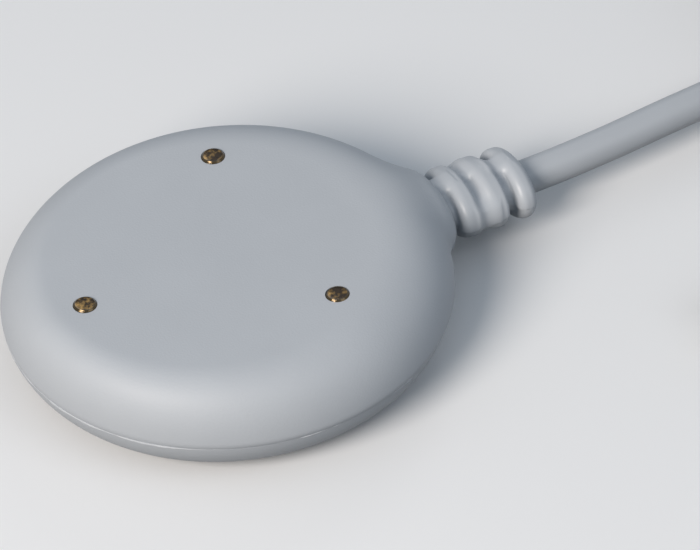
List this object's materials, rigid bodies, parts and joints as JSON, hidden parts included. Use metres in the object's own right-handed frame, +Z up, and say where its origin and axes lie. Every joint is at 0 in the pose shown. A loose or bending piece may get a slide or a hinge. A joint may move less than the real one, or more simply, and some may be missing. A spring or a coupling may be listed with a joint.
{
  "type": "water leak sensor",
  "caption": "Round puck that lies on a floor and senses water between brass contact pins in its face, with a ringed strain relief and a jacketed lead to a modular plug.",
  "frame": {"origin": "centre of the flat rest face, on the surface that the puck lies on", "axes": "+Z up with the contact pins facing up, +X along the lead as it leaves the puck"},
  "size_m": [0.161, 0.065, 0.0189],
  "materials": {
    "shell": "satin moulded ABS, light cool grey",
    "relief": "satin moulded soft PVC, light cool grey",
    "lead": "extruded soft PVC jacket, light cool grey",
    "brass": "turned brass, aged",
    "seal": "moulded silicone rubber",
    "board": "glass-epoxy board with solder mask",
    "chip": "moulded epoxy",
    "tin": "tinned copper and solder",
    "ceramic_dark": "ceramic chip resistor",
    "ceramic_tan": "ceramic chip capacitor",
    "core_red": "PVC core insulation",
    "core_black": "PVC core insulation",
    "core_yellow": "PVC core insulation",
    "core_white": "PVC core insulation",
    "tie": "woven hook-and-loop tape",
    "plug": "clear moulded polycarbonate",
    "gold": "gold-plated blade"
  },
  "bodies": {
    "sensor": {"contact_cover": "shell", "base_cover": "shell", "contact_pin_1": "brass", "contact_pin_2": "brass", "contact_pin_3": "brass", "pin_seals": "seal", "seal_ring": "seal", "circuit_board": "board", "sensing_chip": "chip", "output_transistor": "chip", "surge_diode": "chip", "component_leads": "tin", "chip_resistors": "ceramic_dark", "chip_capacitors": "ceramic_tan", "pin_solder_joints": "tin", "wire_solder_joints": "tin", "core_red": "core_red", "core_black": "core_black", "core_yellow": "core_yellow", "core_white": "core_white", "strain_relief": "relief", "cable_entry": "lead", "pull_stop": "tin", "cable_run": "lead", "cable_coil": "lead", "cable_tail": "lead", "coil_tie": "tie", "plug_boot": "relief", "plug_body": "plug", "plug_contacts": "gold"},
    "latch": {"plug_latch": "plug"}
  },
  "joints": [
    {"name": "latch_press", "type": "hinge", "parent": "sensor", "child": "latch", "pos_m": [0.04675, -0.03229, 0.00585], "axis": [0, 1, 0], "range_deg": [0, 9], "stiffness_Nm_per_rad": 0.05}
  ]
}
